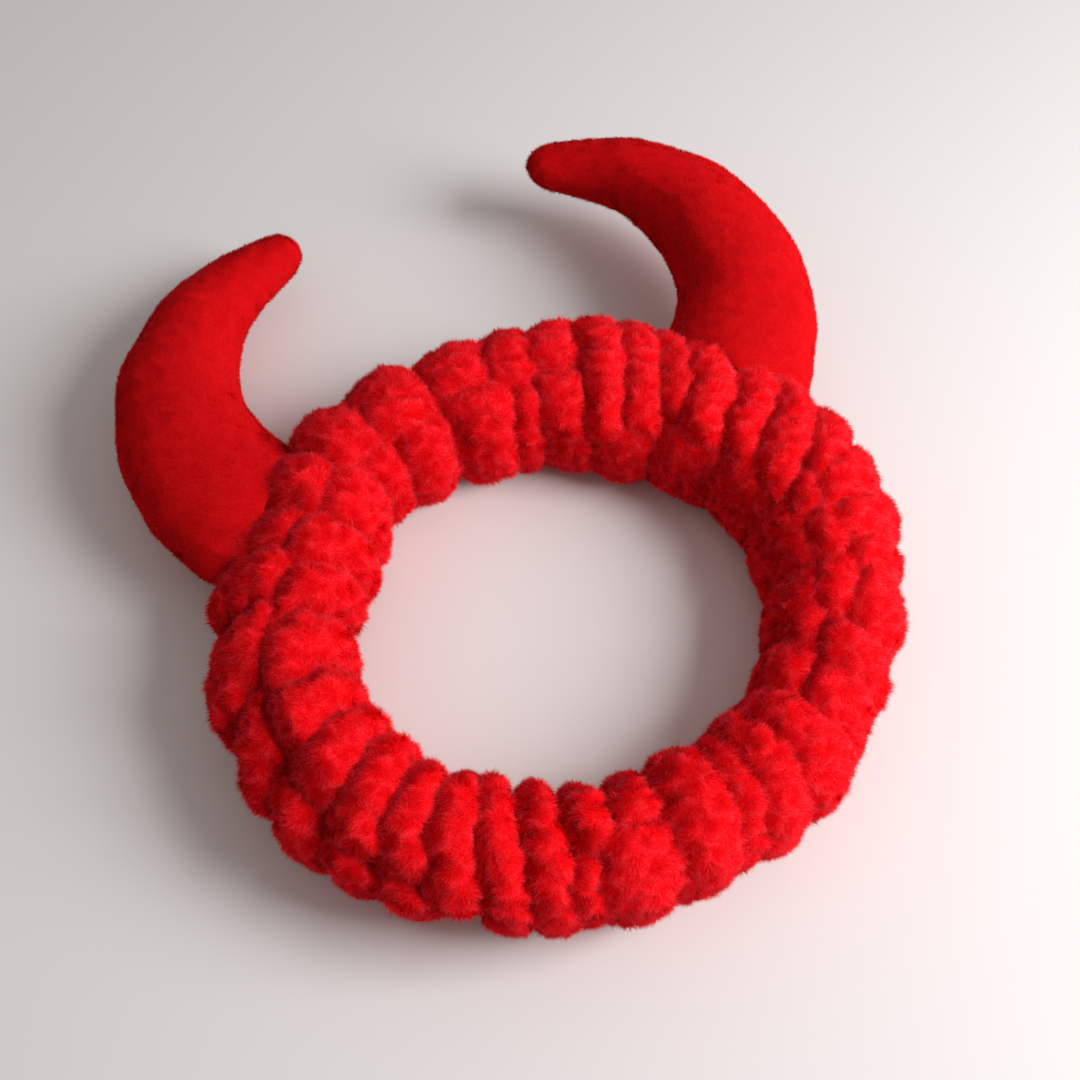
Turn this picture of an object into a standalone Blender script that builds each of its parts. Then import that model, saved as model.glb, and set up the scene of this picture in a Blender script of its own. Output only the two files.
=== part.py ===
# Plush horns headband: a gathered fleece ring with two stuffed horns, lying flat.
# Metres, +Z up. The ring's axis is vertical and the horns point towards +Y.
# Angles round the ring are degrees from +X, turning towards +Y.
# Angles round the tube's section are degrees from outwards, turning upwards.

import math

import bmesh
import bpy
import numpy as np
from mathutils import Matrix, Vector

# The band
RING_RADIUS = 0.083
TUBE_WIDTH = 0.0450
TUBE_HEIGHT = 0.0444
TUBE_SQUARENESS = 2.4
TOP_LEAN = 0.0028
OVAL_PERCENT = 2.8
OVAL_TURN = 25.0
FLAT_DEPTH = 0.0026

# The gathers: how deep the deepest crease could be, how far a fold presses into the
# next, the least fullness, how long a fold's round end is in degrees of the section,
# and between which of those degrees a fold leans.
FOLD_DEPTH = 0.0078
FOLD_OVERLAP = 1.14
LEAST_FULLNESS = 0.30
FOLD_END = 26.0
LEAN_FROM = 25.0
LEAN_TO = 155.0

# The horns
HORN_LENGTH = 0.162
HORN_WIDTH = 0.0535
HORN_THICKNESS = 0.0365
HORN_SPREAD = 52.2
HORN_ROOT_INSET = 0.0145
HORN_RAISE = 0.0003
TIP_ROUNDING = 0.0090

# The room left between a horn and the crests of the folds it is sewn to, and how
# far round the ring, in degrees, those crests bridge the creases under it.
SEAT_GAP = 0.0004
SEAT_BRIDGE = 7.0

# Facets
RING_STEPS = 234
SECTION_STEPS = 19
SECTION_CROWDING = 0.35
HORN_STEPS = 20
HORN_SIDES_STEPS = 7

FLEECE_RED = (0.78, 0.012, 0.022, 1.0)
PLUSH_RED = (0.70, 0.010, 0.018, 1.0)

# How the tube strays from an even ring: at an angle, how far its middle moves out and
# how wide it is, both as shares of the tube's width, and how far its outer top sinks,
# as a share of its height.
FORM_COLUMNS = ("at", "shift", "width", "slump")
RING_FORM = (
    (13, 0.07, 1.14, 0.00),
    (38, 0.03, 1.20, 0.00),
    (58, -0.02, 1.26, 0.00),
    (73, 0.02, 1.14, 0.00),
    (93, -0.02, 0.98, 0.00),
    (130, 0.05, 0.94, 0.04),
    (142, -0.05, 1.14, 0.10),
    (188, -0.01, 1.02, 0.24),
    (223, 0.03, 1.05, 0.24),
    (245, -0.02, 1.06, 0.14),
    (265, 0.03, 0.94, 0.05),
    (277, -0.01, 0.95, 0.00),
    (299, 0.05, 0.95, 0.00),
    (328, -0.01, 0.93, 0.00),
    (343, 0.01, 1.00, 0.00),
)

# One row for each fold: where it lies on top of the ring, how wide it is there in
# degrees, between which angles of the section it runs, how full it is, and how far it
# leans, in degrees round the ring for each quarter turn of the section. The ring's
# underside is at -90 and at 270, and a fold that reaches past there runs right under it.
FOLD_COLUMNS = ("at", "width", "low", "high", "swell", "lean")
FOLDS = (
    (315.5, 10.5, -130, 110, 0.92, 3),
    (326.0, 12.0, -130, 112, 0.95, 3),
    (339.0, 14.0, -130, 93, 1.00, 3),
    (341.0, 16.0, 80, 123, 0.97, 0),
    (348.0, 8.0, -130, 95, 0.86, 0),
    (354.0, 11.5, 84, 127, 0.97, 0),
    (355.0, 10.5, -130, 104, 1.03, -3),
    (3.6, 10.5, -130, 108, 1.03, -6),
    (5.0, 11.0, 93, 131, 0.92, -6),
    (10.0, 9.5, -130, 104, 1.00, -13),
    (18.7, 10.5, -130, 141, 1.02, -15),
    (28.8, 8.5, -130, 139, 0.95, -12),
    (39.0, 10.5, -130, 148, 1.05, -11),
    (46.6, 7.5, -130, 133, 0.90, -9),
    (54.0, 9.0, -130, 154, 1.00, -9),
    (62.0, 9.5, -130, 165, 1.05, -6),
    (72.6, 13.5, 104, 171, 1.05, -3),
    (74.0, 9.5, -130, 108, 0.95, 0),
    (82.0, 8.0, 114, 310, 0.86, -3),
    (83.0, 10.0, -130, 120, 0.95, 0),
    (94.0, 17.5, 108, 310, 1.05, -4),
    (94.5, 14.0, -130, 114, 0.98, 0),
    (108.3, 15.0, 122, 310, 1.03, 2),
    (111.0, 16.0, -130, 128, 1.08, 2),
    (124.5, 13.5, -130, 128, 0.98, 0),
    (126.4, 10.0, 122, 310, 0.94, -5),
    (138.0, 14.0, -130, 108, 0.85, 0),
    (138.9, 19.0, 104, 310, 1.08, -6),
    (151.5, 13.5, -130, 108, 0.72, 0),
    (154.0, 17.0, 106, 310, 1.05, -3),
    (162.5, 10.5, -130, 106, 0.78, 0),
    (167.2, 14.0, 104, 310, 1.00, -2),
    (175.7, 18.0, -130, 94, 1.00, -12),
    (182.4, 18.0, 90, 310, 1.05, -3),
    (191.4, 13.5, -130, 82, 1.00, -13),
    (196.7, 15.0, 80, 310, 1.05, -4),
    (203.6, 12.5, -130, 75, 1.00, -12),
    (208.0, 13.5, 66, 310, 1.05, -4),
    (213.7, 10.0, -130, 64, 0.95, -11),
    (218.6, 12.5, 54, 310, 1.08, -5),
    (222.2, 10.5, -130, 56, 0.97, -12),
    (227.4, 9.5, 48, 310, 1.00, -5),
    (235.2, 9.0, 10, 310, 1.03, -4),
    (242.4, 8.5, -130, 310, 1.00, -6),
    (251.4, 8.5, -130, 310, 0.98, -4),
    (256.0, 6.0, -130, 80, 0.88, -3),
    (260.2, 8.0, 70, 310, 1.03, -3),
    (267.0, 14.5, -130, 100, 1.10, 0),
    (269.0, 11.0, 88, 310, 0.97, 0),
    (279.8, 13.5, -130, 310, 1.05, 3),
    (288.8, 7.5, -130, 310, 0.84, 4),
    (295.8, 10.0, -130, 310, 1.02, 4),
    (304.8, 11.5, -130, 160, 1.05, 3),
    (307.0, 12.0, 140, 310, 0.80, 0),
    (318.0, 18.0, 106, 310, 0.74, 0),
    (337.0, 22.0, 108, 310, 0.72, 0),
    (357.0, 21.0, 112, 310, 0.74, 0),
    (16.0, 20.0, 122, 310, 0.72, 0),
    (35.0, 20.0, 128, 310, 0.74, 0),
    (53.0, 18.0, 134, 310, 0.72, 0),
    (68.0, 15.0, 150, 310, 0.76, 0),
)

# The horn's sections, from the band to the tip: along its length, and how wide
# and thick it is as shares of its greatest width and thickness.
SECTION_COLUMNS = ("along", "width", "thickness")
HORN_SECTIONS = (
    (0.00, 1.10, 0.80),
    (0.18, 1.00, 0.94),
    (0.40, 0.88, 1.00),
    (0.60, 0.75, 0.90),
    (0.80, 0.54, 0.68),
    (0.94, 0.37, 0.50),
    (1.00, 0.34, 0.46),
)

# Each horn is the same pattern, lying a little differently.
POSE_COLUMNS = ("name", "side", "length", "spread", "swing", "lift", "bend")
HORN_POSES = (
    ("horn_left", -1, 0.97, 1.055, 11.5, -2.0, 117.0),
    ("horn_right", 1, 1.00, 0.990, -2.2, 9.6, 132.0),
)


def column(table, columns, name):
    return np.array([row[columns.index(name)] for row in table])


def angle_between(a, b):
    """The signed turn from b to a, in degrees from -180 to 180."""
    return (a - b + 180.0) % 360.0 - 180.0


def ring_form(angles):
    """The tube's shift, width and slump at each angle, eased between the rows of RING_FORM."""
    at = column(RING_FORM, FORM_COLUMNS, "at").astype(float)
    eased = []
    for name in ("shift", "width", "slump"):
        values = column(RING_FORM, FORM_COLUMNS, name)
        nearby = [np.interp(angles + turn, at, values, period=360.0) for turn in (-6.0, 0.0, 6.0)]
        eased.append(sum(nearby) / len(nearby))
    return eased


def rounded_end(past):
    """1 along a fold and 0 where it ends, with a round end between."""
    past = np.clip(1.0 - past / FOLD_END, 0.0, 1.0)
    return np.sqrt(np.clip(1.0 - past**2, 0.0, 1.0))


def fold_height(angles, section):
    """How full the cloth stands at each point, from its least in the creases to about 1."""
    section = (section + 90.0) % 360.0 - 90.0
    turned = (np.clip(section, LEAN_FROM, LEAN_TO) - 90.0) / 90.0
    height = np.full_like(angles, LEAST_FULLNESS)
    for row in FOLDS:
        fold = dict(zip(FOLD_COLUMNS, row))
        away = angle_between(angles, fold["at"] + fold["lean"] * turned)
        away = 2.0 * away / (fold["width"] * FOLD_OVERLAP)
        dome = np.sqrt(np.clip(1.0 - away**2, 0.0, 1.0))
        ends = rounded_end(section - fold["low"]) * rounded_end(fold["high"] - section)
        height = np.maximum(height, fold["swell"] * dome * ends)
    return height


def band_points(angles, section, clearance, bridge):
    """Points of the band's skin, or of one that bridges its creases and stands clear of it."""
    shift, width, slump = ring_form(angles)
    turned = np.radians(section)
    power = TUBE_SQUARENESS
    reach = (np.abs(np.cos(turned)) ** power + np.abs(np.sin(turned)) ** power) ** (-1.0 / power)
    fullest = column(FOLDS, FOLD_COLUMNS, "swell").max()
    turns = {-bridge, -0.5 * bridge, 0.0, 0.5 * bridge, bridge}
    crests = np.max([fold_height(angles + turn, section) for turn in turns], axis=0)
    depth = FOLD_DEPTH * (fullest - crests)
    half_width = 0.5 * TUBE_WIDTH * width - depth + clearance
    half_height = 0.5 * TUBE_HEIGHT - depth + clearance
    out = half_width * reach * np.cos(turned) + TOP_LEAN * np.sin(turned)
    outer_top = np.clip(np.cos(turned), 0.0, 1.0) * np.clip(np.sin(turned), 0.0, 1.0)
    up = half_height * reach * np.sin(turned) - slump * TUBE_HEIGHT * outer_top
    middle = RING_RADIUS * (1.0 + 0.01 * OVAL_PERCENT * np.cos(2.0 * np.radians(angles - OVAL_TURN)))
    radius = middle + shift * TUBE_WIDTH + out
    floor = -0.5 * TUBE_HEIGHT + FLAT_DEPTH
    height = np.maximum(up, floor) - floor
    around = np.radians(angles)
    return np.stack([radius * np.cos(around), radius * np.sin(around), height], axis=-1)


def section_angles(points):
    """The angles round the ring and round the section of a plain torus's points.

    The section's steps are drawn together on top and outside, where the folds show."""
    around = np.degrees(np.arctan2(points[:, 1], points[:, 0])) % 360.0
    out = np.hypot(points[:, 0], points[:, 1]) - RING_RADIUS
    plain = np.arctan2(points[:, 2], out)
    crowded = plain + SECTION_CROWDING * (np.cos(plain) - 0.5 * np.sin(2.0 * plain))
    return around, np.degrees(crowded)


def torus_object(name, clearance, bridge):
    """A torus whose points are moved to the band's skin, or to a skin that clears it all round.

    Its faces are split the same way each time, so that the two skins never cross."""
    bpy.ops.mesh.primitive_torus_add(
        major_segments=RING_STEPS,
        minor_segments=SECTION_STEPS,
        major_radius=RING_RADIUS,
        minor_radius=0.5 * TUBE_WIDTH,
    )
    ring = bpy.context.object
    ring.name = name
    ring.data.name = name
    points = np.array([vertex.co for vertex in ring.data.vertices])
    around, section = section_angles(points)
    skin = band_points(around, section, clearance, bridge)
    shape = bmesh.new()
    shape.from_mesh(ring.data)
    for vertex, place in zip(shape.verts, skin):
        vertex.co = place
    bmesh.ops.triangulate(shape, faces=shape.faces, quad_method="FIXED")
    shape.to_mesh(ring.data)
    shape.free()
    ring.data.shade_smooth()
    return ring


def horn_outline(pose):
    """The horn's middle line, a circular arc in its own plane, and its sections' half sizes."""
    length = HORN_LENGTH * pose["length"]
    turn = math.radians(pose["bend"])
    along = np.sin(0.5 * math.pi * np.linspace(0.0, 1.0, HORN_STEPS + 1))
    heading = turn * along
    bow = length / turn
    places = np.stack([bow * np.sin(heading), bow * (1.0 - np.cos(heading))], axis=-1)
    rows = column(HORN_SECTIONS, SECTION_COLUMNS, "along")
    sizes = []
    for name, greatest in (("width", HORN_WIDTH), ("thickness", HORN_THICKNESS)):
        values = column(HORN_SECTIONS, SECTION_COLUMNS, name)
        nearby = [np.interp(along + step, rows, values) for step in (-0.05, 0.0, 0.05)]
        sizes.append(0.5 * greatest * sum(nearby) / len(nearby))
    left = (1.0 - along) * length
    rounding = np.sqrt(np.clip(1.0 - (1.0 - np.minimum(left / TIP_ROUNDING, 1.0)) ** 2, 0.02, 1.0))
    return places, sizes[0] * rounding, sizes[1] * rounding


def horn_object(pose):
    """One stuffed horn: a tapered tube along its arc, pressed to its thickness, then laid in place."""
    places, half_widths, half_thicknesses = horn_outline(pose)
    curve = bpy.data.curves.new(pose["name"] + "_line", "CURVE")
    curve.dimensions = "3D"
    curve.bevel_depth = 0.5 * HORN_WIDTH
    curve.bevel_resolution = HORN_SIDES_STEPS
    curve.use_fill_caps = True
    spline = curve.splines.new("POLY")
    spline.points.add(len(places) - 1)
    for point, place, half_width in zip(spline.points, places, half_widths):
        point.co = (place[0], place[1], 0.0, 1.0)
        point.radius = half_width / curve.bevel_depth
    line = bpy.data.objects.new(pose["name"] + "_line", curve)
    bpy.context.scene.collection.objects.link(line)
    bpy.context.view_layer.update()
    graph = bpy.context.evaluated_depsgraph_get()
    mesh = bpy.data.meshes.new_from_object(line.evaluated_get(graph))
    mesh.name = pose["name"]
    bpy.data.objects.remove(line)
    bpy.data.curves.remove(curve)
    press_to_thickness(mesh, places, half_widths, half_thicknesses)
    mesh.transform(horn_placement(pose))
    mesh.shade_smooth()
    return bpy.data.objects.new(pose["name"], mesh)


def press_to_thickness(mesh, places, half_widths, half_thicknesses):
    """Scales each point across the horn's plane, by the section that it is nearest to."""
    shape = bmesh.new()
    shape.from_mesh(mesh)
    bmesh.ops.remove_doubles(shape, verts=shape.verts, dist=0.00001)
    for vertex in shape.verts:
        apart = np.hypot(places[:, 0] - vertex.co.x, places[:, 1] - vertex.co.y)
        nearest = int(np.argmin(apart / half_widths))
        vertex.co.z *= half_thicknesses[nearest] / half_widths[nearest]
    bmesh.ops.recalc_face_normals(shape, faces=shape.faces)
    shape.to_mesh(mesh)
    shape.free()


def horn_placement(pose):
    """From the horn's own plane to the ring: the root at the tube, the tip swinging to the middle."""
    root_angle = 90.0 - pose["side"] * HORN_SPREAD * pose["spread"]
    root_reach = RING_RADIUS + 0.5 * TUBE_WIDTH - HORN_ROOT_INSET
    mirror = Matrix.Diagonal((1.0, float(pose["side"]), 1.0, 1.0))
    swing = Matrix.Rotation(math.radians(pose["side"] * pose["swing"]), 4, "Z")
    lift = Matrix.Rotation(math.radians(-pose["lift"]), 4, "Y")
    root_height = 0.5 * TUBE_HEIGHT - FLAT_DEPTH + HORN_RAISE
    out = Matrix.Translation((root_reach, 0.0, root_height))
    turn = Matrix.Rotation(math.radians(root_angle), 4, "Z")
    return turn @ out @ swing @ lift @ mirror


def cut_seat(horn, cutter):
    """Cuts the horn's root to the crests that it is sewn against, with a small gap."""
    seat = horn.modifiers.new("seat", "BOOLEAN")
    seat.operation = "DIFFERENCE"
    seat.solver = "EXACT"
    seat.object = cutter


def material(name, colour, roughness):
    finish = bpy.data.materials.new(name)
    finish.use_nodes = True
    shader = finish.node_tree.nodes["Principled BSDF"]
    shader.inputs["Base Color"].default_value = colour
    shader.inputs["Roughness"].default_value = roughness
    shader.inputs["Metallic"].default_value = 0.0
    return finish


def put_in(collection, thing):
    for other in list(thing.users_collection):
        other.objects.unlink(thing)
    collection.objects.link(thing)


def stand_on_origin(things, root):
    """Moves the whole part so that the origin is at the middle of its base."""
    bpy.context.view_layer.update()
    graph = bpy.context.evaluated_depsgraph_get()
    low = Vector((math.inf,) * 3)
    high = Vector((-math.inf,) * 3)
    for thing in things:
        shaped = thing.evaluated_get(graph).to_mesh()
        for vertex in shaped.vertices:
            low = Vector(map(min, low, vertex.co))
            high = Vector(map(max, high, vertex.co))
        thing.evaluated_get(graph).to_mesh_clear()
    root.location = (-0.5 * (low.x + high.x), -0.5 * (low.y + high.y), -low.z)


def main():
    for thing in list(bpy.data.objects):
        bpy.data.objects.remove(thing)
    scene = bpy.context.scene
    headband = bpy.data.collections.new("plush_horns_headband")
    cutters = bpy.data.collections.new("cutters")
    scene.collection.children.link(headband)
    scene.collection.children.link(cutters)

    band = torus_object("band", 0.0, 0.0)
    band.data.materials.append(material("fleece", FLEECE_RED, 0.95))
    put_in(headband, band)

    seat_cutter = torus_object("seat_cutter", SEAT_GAP, SEAT_BRIDGE)
    seat_cutter.hide_render = True
    seat_cutter.display_type = "WIRE"
    put_in(cutters, seat_cutter)

    plush = material("plush", PLUSH_RED, 0.9)
    pieces = [band]
    for row in HORN_POSES:
        horn = horn_object(dict(zip(POSE_COLUMNS, row)))
        horn.data.materials.append(plush)
        headband.objects.link(horn)
        cut_seat(horn, seat_cutter)
        pieces.append(horn)

    root = bpy.data.objects.new("headband", None)
    headband.objects.link(root)
    for thing in pieces + [seat_cutter]:
        thing.parent = root
    stand_on_origin(pieces, root)
    bpy.context.view_layer.update()


main()
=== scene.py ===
import math

import bmesh
import bpy
import numpy as np
from mathutils import Matrix, Vector


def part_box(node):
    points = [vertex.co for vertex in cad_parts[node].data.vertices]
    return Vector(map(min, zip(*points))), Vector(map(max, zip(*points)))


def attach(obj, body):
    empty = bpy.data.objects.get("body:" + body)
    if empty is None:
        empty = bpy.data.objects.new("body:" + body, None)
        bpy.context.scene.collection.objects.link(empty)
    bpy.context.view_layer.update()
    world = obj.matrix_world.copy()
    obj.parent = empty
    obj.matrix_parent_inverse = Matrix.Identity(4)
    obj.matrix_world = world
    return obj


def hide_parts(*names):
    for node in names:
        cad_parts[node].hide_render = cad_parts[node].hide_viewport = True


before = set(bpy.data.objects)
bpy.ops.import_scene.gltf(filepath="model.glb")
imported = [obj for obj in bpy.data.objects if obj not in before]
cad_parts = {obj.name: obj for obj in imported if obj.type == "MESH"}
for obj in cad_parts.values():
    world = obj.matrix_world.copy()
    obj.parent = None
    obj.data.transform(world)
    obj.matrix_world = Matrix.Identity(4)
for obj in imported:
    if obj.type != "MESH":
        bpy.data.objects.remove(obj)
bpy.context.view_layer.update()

# Plush horns headband: gathered fleece on the ring, short plush on the horns.
# Metres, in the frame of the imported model. Angles round the ring are degrees from +X.
# Angles round the tube's section are degrees from outwards, turning upwards.

# The band

bandLow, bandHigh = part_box("band")
ringOffset = (-0.0024, -0.0001)  # the gathers fill the band's box a little unevenly
ringCentre = Vector((
    0.5 * (bandLow.x + bandHigh.x) + ringOffset[0],
    0.5 * (bandLow.y + bandHigh.y) + ringOffset[1],
    0.0,
))

bandValues = {
    "ringRadius": 0.083,
    "tubeWidth": 0.0450,
    "tubeHeight": 0.0444,
    "squareness": 2.4,
    "topLean": 0.0028,
    "oval": 0.028,
    "ovalTurn": 25.0,
    "flatDepth": 0.0026,
    "pileRoom": 0.0014,     # how far the cloth is set in, to leave room for its pile
    "floorGap": 0.0004,
    "creaseDepth": 0.0085,
    "overlap": 1.5,         # how many degrees the folds press into each other
    "base": 0.30,           # how full the cloth stands in a crease
    "foldEnd": 26.0,        # how many degrees of the section a fold's round end takes
    "leanFrom": 25.0,       # below this a fold runs straight under the tube
    "leanTo": 155.0,
    "wander": 0.5,          # how many degrees a fold strays from its line
    "wanderSpacing": 24.0,
    "lumps": 0.0004,        # soft unevenness of the folds
    "lumpSpacing": 0.021,
    "crinkles": 0.00012,
    "crinkleSpacing": 0.0055,
    "easing": (-6.0, -3.0, 0.0, 3.0, 6.0),
    "aroundSteps": 640,
    "sectionSteps": 88,
    "seed": 11,
}

# How the tube strays from an even ring: at an angle, how far its middle moves out and how
# wide it is, as shares of the tube's width, how far its outer top sinks, of its height, and
# how deep its creases are, as a share of creaseDepth.
formColumns = ("at", "shift", "width", "slump", "depth")
ringForm = (
    (13, 0.07, 1.14, 0.00, 0.72),
    (38, 0.03, 1.20, 0.00, 0.85),
    (58, -0.02, 1.26, 0.00, 0.85),
    (73, 0.02, 1.14, 0.00, 0.85),
    (93, -0.02, 0.98, 0.00, 0.78),
    (130, 0.05, 0.94, 0.08, 0.82),
    (142, -0.05, 1.14, 0.18, 0.95),
    (188, -0.01, 1.02, 0.36, 1.05),
    (223, 0.03, 1.05, 0.17, 1.05),
    (245, -0.02, 1.06, 0.06, 1.05),
    (265, 0.03, 0.94, 0.02, 1.00),
    (277, -0.01, 0.95, 0.00, 0.90),
    (299, 0.05, 0.95, 0.00, 0.80),
    (328, -0.01, 0.93, 0.00, 0.72),
    (343, 0.01, 1.00, 0.00, 0.70),
)

# One row for each fold: where it lies on top of the ring, how wide it is there in degrees,
# between which angles of the section it runs, how full it is, and how far it leans, in
# degrees round the ring for each quarter turn of the section. The ring's underside is at
# -90 and at 270, and a fold that reaches past there runs right under it.
foldColumns = ("at", "width", "low", "high", "swell", "lean")
folds = (
    (315.5, 10.5, -130, 110, 0.92, 3),
    (326.0, 12.0, -130, 112, 0.95, 3),
    (339.0, 14.0, -130, 93, 1.00, 3),
    (341.0, 16.0, 80, 123, 0.97, 0),
    (348.0, 8.0, -130, 95, 0.86, 0),
    (354.0, 11.5, 84, 127, 0.97, 0),
    (355.0, 10.5, -130, 104, 1.03, -3),
    (3.6, 10.5, -130, 108, 1.03, -6),
    (5.0, 11.0, 93, 131, 0.92, -6),
    (10.0, 9.5, -130, 104, 1.00, -13),
    (18.7, 10.5, -130, 141, 1.02, -15),
    (28.8, 8.5, -130, 139, 0.95, -12),
    (39.0, 10.5, -130, 148, 1.05, -11),
    (46.6, 7.5, -130, 133, 0.90, -9),
    (54.0, 9.0, -130, 154, 1.00, -9),
    (62.0, 9.5, -130, 165, 1.05, -6),
    (72.6, 13.5, 104, 171, 1.05, -3),
    (74.0, 9.5, -130, 108, 0.95, 0),
    (82.0, 8.0, 114, 310, 0.86, -3),
    (83.0, 10.0, -130, 120, 0.95, 0),
    (94.0, 15.5, 106, 310, 1.05, -4),
    (94.5, 14.0, -130, 114, 0.98, 0),
    (108.3, 14.0, 122, 310, 1.03, 2),
    (111.0, 16.0, -130, 128, 1.08, 2),
    (124.5, 13.5, -130, 128, 0.98, 0),
    (125.4, 9.5, 122, 310, 0.94, -5),
    (138.0, 13.0, -130, 116, 0.90, 0),
    (138.9, 16.5, 108, 310, 1.10, -6),
    (150.5, 11.5, -130, 100, 0.74, 0),
    (154.0, 13.5, 98, 310, 1.06, -5),
    (161.0, 10.0, -130, 112, 0.84, -4),
    (167.4, 12.0, 102, 310, 1.03, -6),
    (175.2, 16.0, -130, 96, 1.02, -12),
    (182.0, 15.0, 86, 310, 1.08, -5),
    (190.6, 13.0, -130, 80, 1.00, -13),
    (196.7, 12.5, 74, 310, 1.07, -5),
    (203.2, 12.0, -130, 68, 1.00, -12),
    (208.0, 10.5, 58, 310, 1.06, -5),
    (213.7, 9.5, -130, 55, 0.97, -11),
    (218.4, 10.0, 44, 310, 1.09, -6),
    (222.2, 10.0, -130, 47, 0.98, -12),
    (227.2, 8.5, 38, 310, 1.02, -5),
    (235.2, 8.5, 5, 310, 1.04, -4),
    (242.6, 7.5, -130, 310, 1.02, -6),
    (251.2, 8.0, -130, 310, 1.00, -4),
    (257.4, 5.5, -130, 80, 0.94, -3),
    (260.2, 8.0, 70, 310, 1.03, -3),
    (267.0, 14.5, -130, 100, 1.10, 0),
    (269.4, 10.5, 88, 310, 1.00, 0),
    (279.8, 13.5, -130, 310, 1.05, 3),
    (288.8, 7.5, -130, 310, 0.84, 4),
    (295.8, 10.0, -130, 310, 1.02, 4),
    (304.8, 11.5, -130, 160, 1.05, 3),
    (307.0, 12.0, 140, 310, 0.80, 0),
    (318.0, 18.0, 106, 310, 0.74, 0),
    (337.0, 22.0, 108, 310, 0.72, 0),
    (357.0, 21.0, 112, 310, 0.74, 0),
    (16.0, 20.0, 122, 310, 0.72, 0),
    (35.0, 20.0, 128, 310, 0.74, 0),
    (53.0, 18.0, 134, 310, 0.72, 0),
    (68.0, 15.0, 150, 310, 0.76, 0),
)


def column(table, columns, name):
    return np.array([row[columns.index(name)] for row in table], float)


def angleBetween(a, b):
    return (a - b + 180.0) % 360.0 - 180.0


waveSpread = (0.7, 1.4)


def waves(places, wavelength, seed, count=18):
    # a smooth random field of about unit size
    rng = np.random.default_rng(seed)
    turns = rng.normal(size=(count, 3))
    turns /= np.linalg.norm(turns, axis=1, keepdims=True)
    turns *= 2.0 * math.pi / (wavelength * rng.uniform(*waveSpread, (count, 1)))
    phases = rng.uniform(0.0, 2.0 * math.pi, count)
    return np.sin(places @ turns.T + phases).sum(axis=1) * math.sqrt(2.0 / count)


def unit(vectors):
    return vectors / np.maximum(np.linalg.norm(vectors, axis=-1, keepdims=True), 1e-12)


def easedForm(angles, name):
    at = column(ringForm, formColumns, "at")
    values = column(ringForm, formColumns, name)
    turns = bandValues["easing"]
    nearby = [np.interp(angles + turn, at, values, period=360.0) for turn in turns]
    return sum(nearby) / len(nearby)


def roundedEnd(past):
    # 1 along a fold and 0 where it ends, with a round end between
    past = np.clip(1.0 - past / bandValues["foldEnd"], 0.0, 1.0)
    return np.sqrt(np.clip(1.0 - past ** 2, 0.0, 1.0))


def foldHeight(angles, section):
    # how full the cloth stands, from the base in the creases to about 1
    section = (section + 90.0) % 360.0 - 90.0
    turned = (np.clip(section, bandValues["leanFrom"], bandValues["leanTo"]) - 90.0) / 90.0
    height = np.full_like(angles, bandValues["base"])
    for row in folds:
        fold = dict(zip(foldColumns, row))
        away = angleBetween(angles, fold["at"] + fold["lean"] * turned)
        away = 2.0 * away / (fold["width"] + bandValues["overlap"])
        dome = np.sqrt(np.clip(1.0 - away ** 2, 0.0, 1.0))
        ends = roundedEnd(section - fold["low"]) * roundedEnd(fold["high"] - section)
        height = np.maximum(height, fold["swell"] * dome * ends)
    return height


def bandPlaces(angles, section):
    # the cloth's own places round the ring centre, and how full it stands there
    values = bandValues
    overMap = np.stack([angles, section, 0 * angles], axis=1)
    wander = values["wander"] * waves(overMap, values["wanderSpacing"], values["seed"])
    height = foldHeight(angles + wander, section)
    fullest = column(folds, foldColumns, "swell").max()
    height = fullest - easedForm(angles, "depth") * (fullest - height)
    depth = values["creaseDepth"] * (fullest - height) + values["pileRoom"]
    turned = np.radians(section)
    power = values["squareness"]
    reach = np.abs(np.cos(turned)) ** power + np.abs(np.sin(turned)) ** power
    reach = reach ** (-1.0 / power)
    halfWidth = 0.5 * values["tubeWidth"] * easedForm(angles, "width") - depth
    halfHeight = 0.5 * values["tubeHeight"] - depth
    out = halfWidth * reach * np.cos(turned) + values["topLean"] * np.sin(turned)
    outerTop = np.clip(np.cos(turned), 0.0, 1.0) * np.clip(np.sin(turned), 0.0, 1.0)
    up = halfHeight * reach * np.sin(turned)
    up -= easedForm(angles, "slump") * values["tubeHeight"] * outerTop
    ovalAngles = 2.0 * np.radians(angles - values["ovalTurn"])
    middle = values["ringRadius"] * (1.0 + values["oval"] * np.cos(ovalAngles))
    radius = middle + easedForm(angles, "shift") * values["tubeWidth"] + out
    around = np.radians(angles)
    middleHeight = 0.5 * values["tubeHeight"] - values["flatDepth"]
    x = radius * np.cos(around)
    y = radius * np.sin(around)
    places = np.stack([x, y, up + middleHeight], axis=1)
    lumps = values["lumps"] * waves(places, values["lumpSpacing"], values["seed"] + 1)
    lumps += values["crinkles"] * waves(places, values["crinkleSpacing"], values["seed"] + 2)
    outwards = np.stack(
        [np.cos(turned) * np.cos(around), np.cos(turned) * np.sin(around), np.sin(turned)], axis=1
    )
    places += outwards * lumps[:, None]
    places[:, 2] = np.maximum(places[:, 2], values["floorGap"])
    return places + np.array(ringCentre), height


def meshCoordinates(mesh):
    flat = np.empty(len(mesh.vertices) * 3, np.float32)
    mesh.vertices.foreach_get("co", flat)
    return flat.reshape(-1, 3).astype(float)


def setCoordinates(mesh, places):
    mesh.vertices.foreach_set("co", places.astype(np.float32).ravel())
    mesh.update()


def addPiece(name, mesh, material):
    piece = bpy.data.objects.new(name, mesh)
    bpy.context.scene.collection.objects.link(piece)
    piece.data.materials.clear()
    piece.data.materials.append(material)
    return piece


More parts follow.
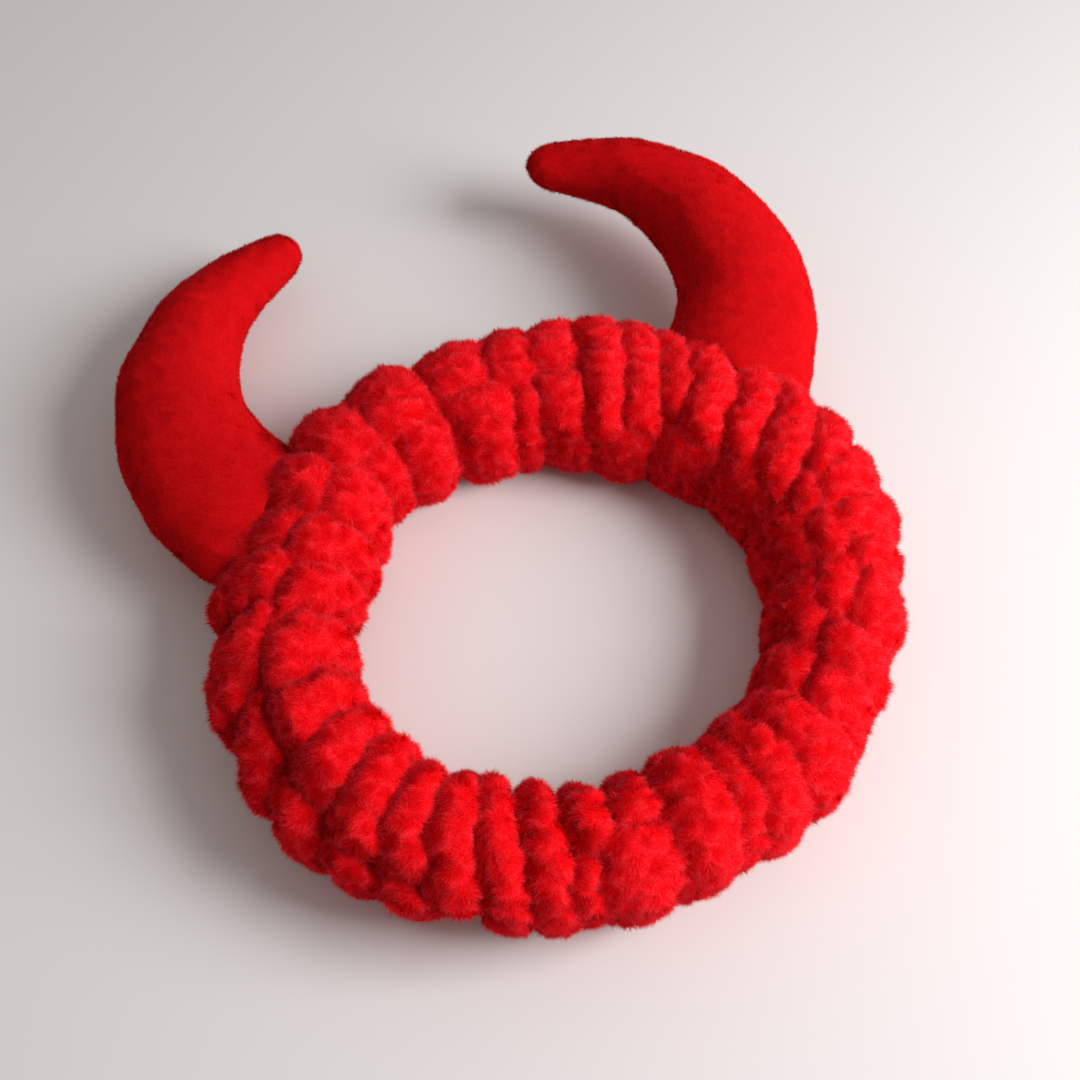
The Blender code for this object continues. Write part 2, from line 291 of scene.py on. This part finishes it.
def faceOrder(face):
    # a number of its own for each face of the ring, whatever order the spin made them in
    corners = [corner.index for corner in face.verts]
    ringCorners = bandValues["aroundSteps"] * bandValues["sectionSteps"]
    return min(corners) * ringCorners + max(corners)


def bandSkin(material):
    # a section circle spun round the ring, then moved to the gathered cloth
    values = bandValues
    shape = bmesh.new()
    bmesh.ops.create_circle(
        shape,
        cap_ends=False,
        segments=values["sectionSteps"],
        radius=0.5 * values["tubeWidth"],
    )
    upright = Matrix.Rotation(0.5 * math.pi, 3, "X")
    bmesh.ops.rotate(shape, verts=shape.verts, cent=(0, 0, 0), matrix=upright)
    bmesh.ops.translate(shape, verts=shape.verts, vec=(values["ringRadius"], 0, 0))
    bmesh.ops.spin(
        shape,
        geom=shape.verts[:] + shape.edges[:],
        cent=(0, 0, 0),
        axis=(0, 0, 1),
        angle=2.0 * math.pi,
        steps=values["aroundSteps"],
        use_merge=True,
    )
    bmesh.ops.recalc_face_normals(shape, faces=shape.faces)
    shape.verts.index_update()
    shape.faces.sort(key=faceOrder)
    mesh = bpy.data.meshes.new("bandFleece")
    shape.to_mesh(mesh)
    shape.free()
    plain = meshCoordinates(mesh)
    angles = np.degrees(np.arctan2(plain[:, 1], plain[:, 0])) % 360.0
    out = np.hypot(plain[:, 0], plain[:, 1]) - values["ringRadius"]
    section = np.degrees(np.arctan2(plain[:, 2], out))
    places, height = bandPlaces(angles, section)
    setCoordinates(mesh, places)
    mesh.shade_smooth()
    fullness = mesh.attributes.new("fullness", "FLOAT", "POINT")
    fullness.data.foreach_set("value", height.astype(np.float32))
    mapRound(mesh, angles / 360.0, (section / 360.0) % 1.0)
    return addPiece("bandFleece", mesh, material)


mapMargin = 0.005
mapSpare = 1.002    # room for the faces that run past a cut


def mapRound(mesh, across, up):
    # once round the ring and once round the tube, cut where each starts again
    corners = np.empty(len(mesh.loops), np.int32)
    mesh.loops.foreach_get("vertex_index", corners)
    faces = corners.reshape(-1, 4)
    shares = []
    for share in (across, up):
        atCorner = share[faces]
        wraps = atCorner.max(axis=1) - atCorner.min(axis=1) > 0.5
        atCorner[wraps] += atCorner[wraps] < 0.5
        shares.append(mapMargin + (1.0 - 2.0 * mapMargin) * atCorner.ravel() / mapSpare)
    layer = mesh.uv_layers.new(name="OFBake")
    layer.data.foreach_set("uv", np.stack(shares, axis=1).astype(np.float32).ravel())


# The horns

hornValues = {
    "weldWithin": 0.00002,
    "pileRoom": 0.0009,
    "voxel": 0.0036,
    "evening": 18,          # how many times the facets are evened out
    "evenIn": 0.5,
    "evenOut": -0.53,       # a little more than evenIn, so that the horn keeps its size
    "swell": 0.0008,        # how far the stuffing may press the skin out
    "swellShare": 0.7,      # how much of that the skin starts inside
    "pressure": 4.0,
    "quality": 5,
    "mass": 0.3,
    "stiffness": 15.0,
    "frames": 20,
    "dents": 0.00022,
    "dentSpacing": 0.026,
    "rootSink": 0.0090,     # how far the sewn end runs on, hidden in the band's fleece
    "rootFacing": 0.5,
    "rootFade": 0.012,
    "seed": 31,
}


def evaluatedMesh(piece):
    graph = bpy.context.evaluated_depsgraph_get()
    return bpy.data.meshes.new_from_object(piece.evaluated_get(graph))


def takeShape(piece):
    # applies the piece's modifiers
    mesh = evaluatedMesh(piece)
    piece.modifiers.clear()
    old = piece.data
    piece.data = mesh
    bpy.data.meshes.remove(old)


def vertexNormals(mesh):
    flat = np.empty(len(mesh.vertices) * 3, np.float32)
    mesh.vertex_normals.foreach_get("vector", flat)
    return flat.reshape(-1, 3).astype(float)


def hornSkin(node, material):
    values = hornValues
    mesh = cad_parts[node].data.copy()
    shape = bmesh.new()
    shape.from_mesh(mesh)
    bmesh.ops.remove_doubles(shape, verts=shape.verts, dist=values["weldWithin"])
    bmesh.ops.recalc_face_normals(shape, faces=shape.faces)
    shape.to_mesh(mesh)
    shape.free()
    for layer in list(mesh.uv_layers):
        mesh.uv_layers.remove(layer)
    piece = addPiece(node + "Plush", mesh, material)
    remesh = piece.modifiers.new("remesh", "REMESH")
    remesh.mode = "VOXEL"
    remesh.voxel_size = values["voxel"]
    takeShape(piece)
    evenOut(piece)
    start = meshCoordinates(piece.data)
    normals = vertexNormals(piece.data)
    start -= normals * (values["pileRoom"] + values["swellShare"] * values["swell"])
    start += sunkRoot(start, normals)
    setCoordinates(piece.data, start)
    stuff(piece, start)
    rounder = piece.modifiers.new("rounder", "SUBSURF")
    rounder.levels = 2
    rounder.render_levels = 2
    takeShape(piece)
    places = meshCoordinates(piece.data)
    dents = values["dents"] * waves(places, values["dentSpacing"], values["seed"])
    places += vertexNormals(piece.data) * dents[:, None]
    setCoordinates(piece.data, places)
    piece.data.shade_smooth()
    return piece


def evenOut(piece):
    # smooths in and back out by turns, which takes the facets out and leaves the form
    values = hornValues
    for _ in range(values["evening"]):
        for factor in (values["evenIn"], values["evenOut"]):
            even = piece.modifiers.new("even", "SMOOTH")
            even.factor = factor
            even.iterations = 1
    takeShape(piece)


def sunkRoot(places, normals):
    # the moves that carry the sewn end on into the band
    values = hornValues
    inward = np.array(ringCentre) - places
    away = np.hypot(inward[:, 0], inward[:, 1])
    inward[:, 2] = 0.0
    inward = unit(inward)
    facing = np.clip((normals * inward).sum(axis=1) / values["rootFacing"], 0.0, 1.0)
    within = bandValues["ringRadius"] + bandValues["tubeWidth"] - away
    near = np.clip(within / values["rootFade"], 0.0, 1.0)
    return inward * (values["rootSink"] * facing * near)[:, None]


def stuff(piece, start):
    # the stuffing presses the skin out, as far as the cloth lets it
    values = hornValues
    scene = bpy.context.scene
    cloth = piece.modifiers.new("stuffing", "CLOTH")
    cloth.settings.quality = values["quality"]
    cloth.settings.mass = values["mass"]
    cloth.settings.tension_stiffness = values["stiffness"]
    cloth.settings.use_pressure = True
    cloth.settings.uniform_pressure_force = values["pressure"]
    cloth.settings.effector_weights.gravity = 0.0
    cloth.point_cache.frame_end = values["frames"]
    for step in range(1, values["frames"] + 1):
        scene.frame_set(step)
    swollen = evaluatedMesh(piece)
    moved = meshCoordinates(swollen) - start
    far = np.linalg.norm(moved, axis=1, keepdims=True)
    moved *= np.minimum(1.0, values["swell"] / np.maximum(far, 1e-9))
    bpy.data.meshes.remove(swollen)
    piece.modifiers.clear()
    scene.frame_set(1)
    setCoordinates(piece.data, start + moved)


# The pile. Each strand is one thin blade that leans with its neighbours, so that it shows
# its lit face, and its shading follows the cloth under it.

bandPile = {
    "pieces": 3,
    "strands": 184000,      # in each piece
    "length": 0.0031,
    "width": 0.00026,
    "lean": 57.0,
    "leanSpread": 12.0,
    "turnSpread": 30.0,
    "clump": 0.0022,
    "comb": 0.9,
    "combDown": 0.6,
    "shading": 0.11,        # 0 shades as the cloth, 1 as each strand's own face
    "seed": 101,
}

hornPile = {
    "strands": 95000,
    "length": 0.0016,
    "width": 0.00022,
    "lean": 55.0,
    "leanSpread": 12.0,
    "turnSpread": 30.0,
    "clump": 0.0030,
    "comb": 1.8,
    "shading": 0.18,
    "seed": 201,
}

strandValues = {
    "restGap": 0.0008,      # cloth below this is pressed on the floor and shows no pile
    "underneath": -0.4,     # a face whose normal points further down has less pile
    "underShare": 0.3,
    "driftSpacing": 2.2,    # of the clump
    "driftWaves": 22,
    "driftSeed": 40,
    "stray": 0.35,
    "leanRange": (8.0, 80.0),
    "turnRange": (-1.2, 1.2),
    "patchSpacing": 3.0,    # of the clump
    "patchSeed": 60,
    "patchLength": 0.12,
    "steadyLength": 0.35,   # the share of a strand's length that doesn't follow the fullness
    "lengths": (0.65, 1.15),
    "widths": (0.7, 1.3),
    "tipGap": 0.0003,
    "rootGap": 0.0002,
    # the strands' tone: their own random and patchy tone, with painted shade in the creases
    "toneAndShade": 0.58,
    "patchTone": 0.05,
    "strayTone": 0.12,
    "paintedFoldShade": 0.50,     # how much darker the pile is painted with less fullness: painted shade in the creases
    # above this fullness the pile is painted no lighter
    "brightestFullness": 0.95,
    "unshadedFullness": 0.80,       # the fullness that the painted shade leaves as it is; fuller pile is painted a little lighter
    "toneRange": (0.02, 0.98),
    "mapWidth": 0.006,
}


def scatter(piece, count, rng):
    # roots spread evenly over the skin, thinner underneath
    mesh = piece.data
    mesh.calc_loop_triangles()
    corners = np.empty(len(mesh.loop_triangles) * 3, np.int32)
    mesh.loop_triangles.foreach_get("vertices", corners)
    corners = corners.reshape(-1, 3)
    places = meshCoordinates(mesh)
    normals = vertexNormals(mesh)
    a, b, c = (places[corners[:, k]] for k in range(3))
    cross = np.cross(b - a, c - a)
    crossLength = np.linalg.norm(cross, axis=1)
    area = 0.5 * crossLength
    below = cross[:, 2] < strandValues["underneath"] * crossLength
    raisedUp = (a[:, 2] + b[:, 2] + c[:, 2]) / 3.0 > strandValues["restGap"]
    weight = area * np.where(below, strandValues["underShare"], 1.0) * raisedUp
    chosen = rng.choice(len(weight), count, p=weight / weight.sum())
    first = np.sqrt(rng.random(count))
    second = rng.random(count)
    shares = np.stack([1.0 - first, first * (1.0 - second), first * second], axis=1)
    roots = (places[corners[chosen]] * shares[..., None]).sum(axis=1)
    raised = unit((normals[corners[chosen]] * shares[..., None]).sum(axis=1))
    full = np.ones(count)
    if "fullness" in mesh.attributes:
        height = np.empty(len(mesh.vertices), np.float32)
        mesh.attributes["fullness"].data.foreach_get("value", height)
        full = (height[corners[chosen]] * shares).sum(axis=1)
    return roots, raised, full


def strandDrift(roots, normals, values, combOf, rng):
    # which way each strand leans over the cloth
    spacing = values["clump"] * strandValues["driftSpacing"]
    seeds = [values["seed"] + strandValues["driftSeed"] + k for k in range(3)]
    count = strandValues["driftWaves"]
    drift = np.stack([waves(roots, spacing, seed, count) for seed in seeds], axis=1)
    drift += strandValues["stray"] * rng.normal(size=(len(roots), 3))
    drift += values["comb"] * combOf(roots)
    drift -= normals * (drift * normals).sum(axis=1, keepdims=True)
    return unit(drift)


def growPile(name, piece, values, combOf, part, material):
    strand = strandValues
    rng = np.random.default_rng(values["seed"] + part)
    count = values["strands"]
    roots, normals, full = scatter(piece, count, rng)
    drift = strandDrift(roots, normals, values, combOf, rng)
    lean = values["lean"] + values["leanSpread"] * rng.normal(size=count)
    lean = np.radians(np.clip(lean, *strand["leanRange"]))
    direction = np.cos(lean)[:, None] * normals + np.sin(lean)[:, None] * drift
    side = unit(np.cross(direction, normals))
    turn = np.radians(values["turnSpread"] * rng.normal(size=count)).clip(*strand["turnRange"])
    side = side * np.cos(turn)[:, None] + np.cross(direction, side) * np.sin(turn)[:, None]
    face = np.cross(side, direction)
    patchSeed = values["seed"] + strand["patchSeed"]
    patch = waves(roots, values["clump"] * strand["patchSpacing"], patchSeed)
    steady = strand["steadyLength"]
    length = values["length"] * (steady + (1.0 - steady) * np.clip(full, 0.0, 1.0))
    length *= 1.0 + strand["patchLength"] * patch
    length *= rng.uniform(*strand["lengths"], count)
    width = values["width"] * rng.uniform(*strand["widths"], count)
    tips = roots + direction * length[:, None]
    tips[:, 2] = np.maximum(tips[:, 2], strand["tipGap"])
    half = 0.5 * side * width[:, None]
    places = np.stack([roots - half, roots + half, tips], axis=1).reshape(-1, 3)
    places[:, 2] = np.maximum(places[:, 2], strand["rootGap"])
    own = values["shading"]
    shaded = unit((1.0 - own) * normals + own * face)
    shaded = np.repeat(shaded, 3, axis=0)
    toneAndShade = strand["toneAndShade"] + strand["patchTone"] * patch
    toneAndShade += strand["strayTone"] * rng.normal(size=count)
    # painted shade: less full pile, in the creases, is painted darker, and the fullest crests a
    # little lighter
    toneAndShade += strand["paintedFoldShade"] * (np.clip(full, 0.0, strand["brightestFullness"]) - strand["unshadedFullness"])
    toneAndShade = np.clip(toneAndShade, *strand["toneRange"])
    return pileMesh(name, places, shaded, toneAndShade, material)


def pileMesh(name, places, shaded, toneAndShade, material):
    count = len(toneAndShade)
    mesh = bpy.data.meshes.new(name)
    mesh.vertices.add(3 * count)
    mesh.vertices.foreach_set("co", places.astype(np.float32).ravel())
    mesh.loops.add(3 * count)
    mesh.loops.foreach_set("vertex_index", np.arange(3 * count, dtype=np.int32))
    mesh.polygons.add(count)
    mesh.polygons.foreach_set("loop_start", np.arange(0, 3 * count, 3, dtype=np.int32))
    mesh.update()
    layer = mesh.uv_layers.new(name="OFBake")
    low, high = strandValues["toneRange"]
    wide = strandValues["mapWidth"]
    # across the map: the strand's tone with its painted crease shade; up the map: root to tip, for
    # the painted root shade and tip glow
    across = np.stack([toneAndShade - wide, toneAndShade + wide, toneAndShade], axis=1)
    up = np.tile([low, low, high], (count, 1))
    layer.data.foreach_set("uv", np.stack([across, up], axis=2).astype(np.float32).ravel())
    bent = mesh.attributes.new("custom_normal", "FLOAT_VECTOR", "POINT")
    bent.data.foreach_set("vector", shaded.astype(np.float32).ravel())
    mesh.update()
    pile = addPiece(name, mesh, material)
    # fine strands let the light through, and the cloth under them casts the shade
    pile.visible_shadow = False
    return pile


def bandComb(roots):
    # the fleece strokes outwards and down
    out = roots - np.array(ringCentre)
    out[:, 2] = 0.0
    return unit(out) - np.array([0.0, 0.0, bandPile["combDown"]])


def hornComb(piece):
    # the plush strokes towards the tip, along the horn's bow
    places = meshCoordinates(piece.data)
    flat = places[:, :2]
    rows = np.column_stack([2.0 * flat, np.ones(len(flat))])
    fitted = np.linalg.lstsq(rows, (flat ** 2).sum(axis=1), rcond=None)[0]
    centre = fitted[:2]
    sense = 1.0 if centre[0] < flat[:, 0].mean() else -1.0

    def comb(roots):
        x, y = (roots[:, :2] - centre).T
        return unit(np.column_stack([-sense * y, sense * x, np.zeros(len(roots))]))

    return comb


# Finishes, with painted shade and a painted glow in the pile colours

fleeceFinish = {
    # the root colour is darker as painted shade down in the pile; the colour at the very tip is a
    # pinkish painted glow, where light shines through the fibres
    "root": (0.62, 0.0024, 0.0045, 1.0),
    "middle": (0.86, 0.0045, 0.008, 1.0),
    "tip": (0.95, 0.013, 0.022, 1.0),
    "paintedTipGlow": (0.98, 0.13, 0.18, 1.0),
    # the darkest and the lightest strand tone; the dark end serves both the strands' own random
    # tone and the painted shade in the creases
    "dark": (0.42, 0.40, 0.44, 1.0),
    "light": (1.0, 1.0, 1.0, 1.0),
    "sheen": 0.14,
    "sheenRoughness": 0.35,
    "sheenTint": (1.0, 0.08, 0.14, 1.0),
    "roughness": 0.9,
    "gloss": 0.0,
    "grain": 700.0,
    "grainDetail": 6.0,
    "grainRoughness": 0.65,
    "bump": 0.8,
    "bumpDepth": 0.0008,
}

plushFinish = dict(
    fleeceFinish,
    grain=1100.0,
    # as on the fleece: a darker root as painted shade, and a painted glow at the very tip
    root=(0.60, 0.004, 0.006, 1.0),
    middle=(0.68, 0.0055, 0.008, 1.0),
    tip=(0.74, 0.008, 0.011, 1.0),
    paintedTipGlow=(0.84, 0.04, 0.05, 1.0),
    dark=(0.78, 0.76, 0.76, 1.0),
)


def ramp(tree, stops):
    node = tree.nodes.new("ShaderNodeValToRGB")
    elements = node.color_ramp.elements
    while len(elements) < len(stops):
        elements.new(0.5)
    for element, (at, colour) in zip(elements, stops):
        element.position = at
        element.color = colour
    return node


def pileMaterial(name, finish):
    # darker at the roots as painted shade down in the pile, lighter towards the tips and a pinkish
    # painted glow at the very tip, with a tone of its own for each strand that holds painted shade
    # in the creases
    material = bpy.data.materials.new(name)
    material.use_nodes = True
    tree = material.node_tree
    shader = tree.nodes["Principled BSDF"]
    strand = tree.nodes.new("ShaderNodeUVMap")
    strand.uv_map = "OFBake"
    split = tree.nodes.new("ShaderNodeSeparateXYZ")
    tree.links.new(strand.outputs["UV"], split.inputs["Vector"])
    rootShadeToTipGlow = ramp(
        tree,
        (
            (0.0, finish["root"]),
            (0.5, finish["middle"]),
            (0.75, finish["tip"]),
            (1.0, finish["paintedTipGlow"]),
        ),
    )
    toneAndShadeRamp = ramp(tree, ((0.0, finish["dark"]), (0.75, finish["light"])))
    tree.links.new(split.outputs["Y"], rootShadeToTipGlow.inputs["Fac"])
    tree.links.new(split.outputs["X"], toneAndShadeRamp.inputs["Fac"])
    mixed = tree.nodes.new("ShaderNodeMix")
    mixed.data_type = "RGBA"
    mixed.blend_type = "MULTIPLY"
    mixed.inputs["Factor"].default_value = 1.0
    tree.links.new(rootShadeToTipGlow.outputs["Color"], mixed.inputs["A"])
    tree.links.new(toneAndShadeRamp.outputs["Color"], mixed.inputs["B"])
    tree.links.new(mixed.outputs["Result"], shader.inputs["Base Color"])
    setFinish(shader, finish)
    return material


def setFinish(shader, finish):
    shader.inputs["Roughness"].default_value = finish["roughness"]
    shader.inputs["Specular IOR Level"].default_value = finish["gloss"]
    shader.inputs["Sheen Weight"].default_value = finish["sheen"]
    shader.inputs["Sheen Roughness"].default_value = finish["sheenRoughness"]
    shader.inputs["Sheen Tint"].default_value = finish["sheenTint"]


def skinMaterial(name, finish):
    # the cloth under the pile: deep red, mottled like packed pile, with a fine bump; its colour
    # runs from the root colour, painted shade, to the middle colour, so it is painted darker, as
    # the shade down in the pile
    material = bpy.data.materials.new(name)
    material.use_nodes = True
    tree = material.node_tree
    shader = tree.nodes["Principled BSDF"]
    place = tree.nodes.new("ShaderNodeTexCoord")
    noise = tree.nodes.new("ShaderNodeTexNoise")
    noise.inputs["Scale"].default_value = finish["grain"]
    noise.inputs["Detail"].default_value = finish["grainDetail"]
    noise.inputs["Roughness"].default_value = finish["grainRoughness"]
    tree.links.new(place.outputs["Object"], noise.inputs["Vector"])
    # painted shade: the skin takes the roots' darker colour, with a random mottle
    mottleAndRootShade = ramp(tree, ((0.25, finish["root"]), (0.8, finish["middle"])))
    tree.links.new(noise.outputs["Fac"], mottleAndRootShade.inputs["Fac"])
    tree.links.new(mottleAndRootShade.outputs["Color"], shader.inputs["Base Color"])
    bump = tree.nodes.new("ShaderNodeBump")
    bump.inputs["Strength"].default_value = finish["bump"]
    bump.inputs["Distance"].default_value = finish["bumpDepth"]
    tree.links.new(noise.outputs["Fac"], bump.inputs["Height"])
    tree.links.new(bump.outputs["Normal"], shader.inputs["Normal"])
    setFinish(shader, finish)
    return material


# The headband

fleeceUnder = skinMaterial("fleeceUnder", fleeceFinish)
fleecePile = pileMaterial("fleecePile", fleeceFinish)
plushUnder = skinMaterial("plushUnder", plushFinish)
plushPile = pileMaterial("plushPile", plushFinish)

band = bandSkin(fleeceUnder)
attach(band, "root")
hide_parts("band")
print("band skin", len(band.data.polygons), "faces")

for part in range(bandPile["pieces"]):
    pile = growPile("bandPile%d" % (part + 1), band, bandPile, bandComb, part, fleecePile)
    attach(pile, "root")
print("band pile", bandPile["pieces"] * bandPile["strands"], "strands")

for part, node in enumerate(("horn_left", "horn_right")):
    horn = hornSkin(node, plushUnder)
    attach(horn, "root")
    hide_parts(node)
    pile = growPile(node + "Pile", horn, hornPile, hornComb(horn), part, plushPile)
    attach(pile, "root")
    print(node, len(horn.data.polygons), "faces and", hornPile["strands"], "strands")

# The stage

stageValues = {
    "floorSize": 40.0,
    "floorColour": (0.82, 0.805, 0.805, 1.0),
    "floorRoughness": 0.9,
    "floorGloss": 0.1,
    "keyFrom": (0.64, -0.31, 0.52),
    "keySize": 0.48,
    "keyPower": 8.8,
    "skyColour": (1.0, 0.91, 0.865, 1.0),
    "skyStrength": 0.33,
}

cameraValues = {
    "distance": 0.4664,
    "elevation": 57.5,
    "azimuth": 253.0,       # from the ring's centre, as the part's angles run
    "fieldOfView": 40.0,
    "sensor": 36.0,
    "imageWidth": 1080.0,   # this and the next are in the photograph's pixels
    "centreInPhoto": (553.06, 640.58),
}


def layFloor():
    values = stageValues
    shape = bmesh.new()
    bmesh.ops.create_grid(shape, x_segments=1, y_segments=1, size=0.5 * values["floorSize"])
    mesh = bpy.data.meshes.new("floor")
    shape.to_mesh(mesh)
    shape.free()
    material = bpy.data.materials.new("paleFloor")
    material.use_nodes = True
    shader = material.node_tree.nodes["Principled BSDF"]
    shader.inputs["Base Color"].default_value = values["floorColour"]
    shader.inputs["Roughness"].default_value = values["floorRoughness"]
    shader.inputs["Specular IOR Level"].default_value = values["floorGloss"]
    floor = addPiece("floor", mesh, material)


def light():
    values = stageValues
    key = bpy.data.objects.new("keyLight", bpy.data.lights.new("keyLight", "AREA"))
    key.data.size = values["keySize"]
    key.data.energy = values["keyPower"]
    key.location = ringCentre + Vector(values["keyFrom"])
    key.rotation_euler = (ringCentre - key.location).to_track_quat("-Z", "Y").to_euler()
    bpy.context.scene.collection.objects.link(key)
    world = bpy.data.worlds.new("softSky")
    world.use_nodes = True
    background = world.node_tree.nodes["Background"]
    background.inputs["Color"].default_value = values["skyColour"]
    background.inputs["Strength"].default_value = values["skyStrength"]
    bpy.context.scene.world = world
    bpy.context.scene.view_settings.view_transform = "Standard"


def aimCamera():
    values = cameraValues
    camera = bpy.data.objects.new("camera", bpy.data.cameras.new("camera"))
    bpy.context.scene.collection.objects.link(camera)
    up = math.radians(values["elevation"])
    turn = math.radians(values["azimuth"])
    level = math.cos(up)
    towards = Vector((level * math.cos(turn), level * math.sin(turn), math.sin(up)))
    camera.location = ringCentre + values["distance"] * towards
    camera.rotation_euler = (-towards).to_track_quat("-Z", "Y").to_euler()
    camera.data.sensor_width = values["sensor"]
    halfView = math.radians(0.5 * values["fieldOfView"])
    camera.data.lens = 0.5 * values["sensor"] / math.tan(halfView)
    middle = 0.5 * values["imageWidth"]
    camera.data.shift_x = (middle - values["centreInPhoto"][0]) / values["imageWidth"]
    camera.data.shift_y = (values["centreInPhoto"][1] - middle) / values["imageWidth"]
    bpy.context.scene.camera = camera


layFloor()
light()
aimCamera()
print("stage, lights and camera set")
